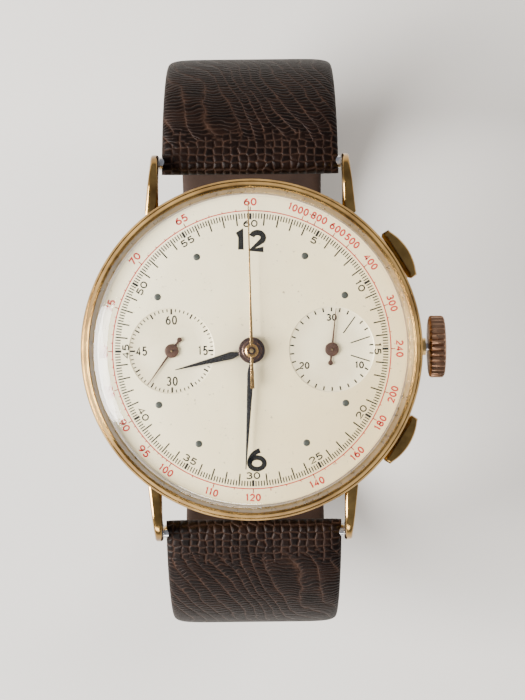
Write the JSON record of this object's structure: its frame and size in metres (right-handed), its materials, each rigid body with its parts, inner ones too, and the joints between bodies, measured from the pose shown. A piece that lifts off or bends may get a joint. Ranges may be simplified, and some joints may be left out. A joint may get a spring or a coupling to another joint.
{
  "type": "chronograph wristwatch",
  "caption": "Round hand-wound gold chronograph wristwatch with sub-dials, fluted crown, oval pushers and slim lugs, on a buckled brown lizard leather strap.",
  "frame": {"origin": "centre of the case back's flat outer face", "axes": "+Z through the watch and out of the dial, +Y to 12 o'clock, +X to 3 o'clock and the crown"},
  "size_m": [0.041, 0.0676, 0.0544],
  "materials": {
    "case_gold": "polished gold",
    "crown_gold": "polished rose gold",
    "acrylic": "clear domed plastic crystal",
    "dial_cream": "silvered, lacquered, slightly aged",
    "black_steel": "blackened steel",
    "brown_steel": "browned steel",
    "hand_gold": "gilt",
    "steel": "polished steel",
    "train_brass": "gilt brass",
    "plate_nickel": "plated brass, grained",
    "ruby": "ruby",
    "strap_leather": "grained lizard leather",
    "buckle_gold": "polished gold"
  },
  "bodies": {
    "case": {"case_middle": "case_gold", "bezel": "case_gold", "crystal": "acrylic", "case_back": "case_gold", "lugs": "case_gold", "spring_bars": "steel", "case_tubes": "case_gold", "dial": "dial_cream", "main_plate": "plate_nickel", "train_bridge": "plate_nickel", "barrel_bridge": "plate_nickel", "balance_cock": "plate_nickel", "pallet_bridge": "plate_nickel", "chronograph_bridge": "plate_nickel", "bridge_screws": "steel", "jewels": "ruby", "chronograph_posts": "steel", "mainspring": "steel", "hairspring": "steel", "strap_short": "strap_leather", "strap_long": "strap_leather", "fixed_keeper": "strap_leather", "buckle_frame": "buckle_gold", "buckle_bar": "steel"},
    "minute_works": {"minute_hand": "black_steel", "cannon_pinion": "steel", "centre_wheel": "train_brass"},
    "hour_works": {"hour_hand": "black_steel", "hour_wheel": "train_brass"},
    "minute_wheel": {"minute_wheel": "train_brass"},
    "barrel": {"mainspring_barrel": "train_brass"},
    "third_wheel": {"third_wheel": "train_brass"},
    "fourth_works": {"fourth_wheel": "train_brass", "small_seconds_hand": "brown_steel"},
    "escape_wheel": {"escape_wheel": "steel"},
    "pallet_fork": {"pallet_fork": "steel"},
    "balance_wheel": {"balance_wheel": "train_brass"},
    "clutch_lever": {"clutch_lever": "steel"},
    "coupling_wheel": {"coupling_wheel": "train_brass"},
    "runner": {"chronograph_runner": "train_brass", "chronograph_seconds_hand": "hand_gold"},
    "recording_idler": {"recording_idler": "train_brass"},
    "recorder": {"minute_recorder": "train_brass", "minute_recorder_hand": "brown_steel"},
    "column_wheel": {"column_wheel": "steel"},
    "operating_lever": {"operating_lever": "steel"},
    "reset_hammer": {"reset_hammer": "steel"},
    "start_pusher": {"start_pusher": "case_gold"},
    "reset_pusher": {"reset_pusher": "case_gold"},
    "pinions": {"winding_pinion": "steel", "sliding_pinion": "steel"},
    "crown": {"crown": "crown_gold", "winding_stem": "steel"},
    "crown_wheel": {"crown_wheel": "steel"},
    "transmission_wheel": {"transmission_wheel": "steel"},
    "ratchet": {"ratchet_wheel": "steel", "barrel_arbor": "steel"},
    "click": {"click": "steel"},
    "tongue": {"buckle_tongue": "buckle_gold"},
    "free_keeper": {"free_keeper": "strap_leather"}
  },
  "joints": [
    {"name": "minute_turn", "type": "hinge", "parent": "case", "child": "minute_works", "pos_m": [0, 0, 0.007], "axis": [0, 0, 1], "continuous": true},
    {"name": "hour_turn", "type": "hinge", "parent": "case", "child": "hour_works", "pos_m": [0, 0, 0.0072], "axis": [0, 0, 1], "continuous": true},
    {"name": "minute_wheel_turn", "type": "hinge", "parent": "case", "child": "minute_wheel", "pos_m": [-0.00293, 0.00107, 0.007], "axis": [0, 0, 1], "continuous": true},
    {"name": "barrel_turn", "type": "hinge", "parent": "case", "child": "barrel", "pos_m": [0.00445, 0.00445, 0.0037], "axis": [0, 0, 1], "continuous": true},
    {"name": "third_turn", "type": "hinge", "parent": "case", "child": "third_wheel", "pos_m": [-0.00481, 0.00116, 0.004], "axis": [0, 0, 1], "continuous": true},
    {"name": "small_seconds_turn", "type": "hinge", "parent": "case", "child": "fourth_works", "pos_m": [-0.0089, 0, 0.004], "axis": [0, 0, 1], "continuous": true},
    {"name": "escape_turn", "type": "hinge", "parent": "case", "child": "escape_wheel", "pos_m": [-0.0077, -0.00331, 0.004], "axis": [0, 0, 1], "continuous": true},
    {"name": "pallet_swing", "type": "hinge", "parent": "case", "child": "pallet_fork", "pos_m": [-0.0051, -0.00481, 0.0045], "axis": [0, 0, 1], "range_deg": [-5, 5]},
    {"name": "balance_swing", "type": "hinge", "parent": "case", "child": "balance_wheel", "pos_m": [-0.00394, -0.008, 0.0035], "axis": [0, 0, 1], "range_deg": [-270, 270], "deforming": ["hairspring"]},
    {"name": "clutch_swing", "type": "hinge", "parent": "case", "child": "clutch_lever", "pos_m": [-0.0089, 0, 0.002], "axis": [0, 0, 1], "range_deg": [0, 6]},
    {"name": "coupling_turn", "type": "hinge", "parent": "clutch_lever", "child": "coupling_wheel", "pos_m": [-0.00466, -0.00225, 0.0017], "axis": [0, 0, 1], "continuous": true},
    {"name": "chronograph_turn", "type": "hinge", "parent": "case", "child": "runner", "pos_m": [0, 0, 0.009], "axis": [0, 0, 1], "continuous": true},
    {"name": "idler_turn", "type": "hinge", "parent": "case", "child": "recording_idler", "pos_m": [0.00435, 0, 0.0018], "axis": [0, 0, 1], "continuous": true},
    {"name": "recorder_turn", "type": "hinge", "parent": "case", "child": "recorder", "pos_m": [0.0089, 0, 0.008], "axis": [0, 0, 1], "continuous": true},
    {"name": "column_turn", "type": "hinge", "parent": "case", "child": "column_wheel", "pos_m": [0.0025, 0.0123, 0.002], "axis": [0, 0, 1], "range_deg": [0, 30]},
    {"name": "operating_swing", "type": "hinge", "parent": "case", "child": "operating_lever", "pos_m": [0.0089, 0.0109, 0.002], "axis": [0, 0, -1], "range_deg": [0, 6]},
    {"name": "hammer_swing", "type": "hinge", "parent": "case", "child": "reset_hammer", "pos_m": [0.0066, -0.0086, 0.002], "axis": [0, 0, 1], "range_deg": [0, 7.3]},
    {"name": "start_push", "type": "slide", "parent": "case", "child": "start_pusher", "axis": [-0.848, -0.5299, 0], "range_m": [0, 0.00045], "stiffness_N_per_m": 400, "springref_m": -0.0005},
    {"name": "reset_push", "type": "slide", "parent": "case", "child": "reset_pusher", "axis": [-0.848, 0.5299, 0], "range_m": [0, 0.00045], "stiffness_N_per_m": 400, "springref_m": -0.0005},
    {"name": "crown_turn", "type": "hinge", "parent": "case", "child": "pinions", "pos_m": [0.0125, 0, 0.004], "axis": [1, 0, 0], "continuous": true},
    {"name": "crown_pull", "type": "slide", "parent": "pinions", "child": "crown", "axis": [1, 0, 0], "range_m": [0, 0.0008]},
    {"name": "crown_wheel_turn", "type": "hinge", "parent": "case", "child": "crown_wheel", "pos_m": [0.0116, 0, 0.0022], "axis": [0, 0, 1], "continuous": true},
    {"name": "transmission_turn", "type": "hinge", "parent": "case", "child": "transmission_wheel", "pos_m": [0.01028, 0.00391, 0.0022], "axis": [0, 0, 1], "continuous": true},
    {"name": "ratchet_turn", "type": "hinge", "parent": "case", "child": "ratchet", "pos_m": [0.00445, 0.00445, 0.0022], "axis": [0, 0, 1], "continuous": true},
    {"name": "click_swing", "type": "hinge", "parent": "case", "child": "click", "pos_m": [-0.0006, 0.0093, 0.0022], "axis": [0, 0, 1], "range_deg": [0, 8]},
    {"name": "tongue_lift", "type": "hinge", "parent": "case", "child": "tongue", "pos_m": [0, -0.00913, -0.03755], "axis": [1, 0, 0], "range_deg": [0, 8]},
    {"name": "keeper_slide", "type": "slide", "parent": "case", "child": "free_keeper", "axis": [0, 1, 0], "range_m": [-0.0025, 0.005]}
  ],
  "couplings": [
    {"joint": "hour_turn", "follows": "minute_turn", "ratio": 0.083333},
    {"joint": "minute_wheel_turn", "follows": "minute_turn", "ratio": -0.33333},
    {"joint": "barrel_turn", "follows": "minute_turn", "ratio": -0.125},
    {"joint": "third_turn", "follows": "minute_turn", "ratio": -8},
    {"joint": "small_seconds_turn", "follows": "minute_turn", "ratio": 60},
    {"joint": "escape_turn", "follows": "minute_turn", "ratio": -600},
    {"joint": "coupling_turn", "follows": "minute_turn", "ratio": -100},
    {"joint": "idler_turn", "follows": "chronograph_turn", "ratio": -0.025},
    {"joint": "recorder_turn", "follows": "chronograph_turn", "ratio": 0.033333},
    {"joint": "crown_wheel_turn", "follows": "crown_turn", "ratio": -0.8},
    {"joint": "transmission_turn", "follows": "crown_turn", "ratio": 0.66667},
    {"joint": "ratchet_turn", "follows": "crown_turn", "ratio": -0.41667},
    {"joint": "operating_swing", "follows": "start_push", "rad_per_m": 228.83},
    {"joint": "column_turn", "follows": "start_push", "rad_per_m": 1159.7},
    {"joint": "hammer_swing", "follows": "reset_push", "rad_per_m": 279.25}
  ]
}
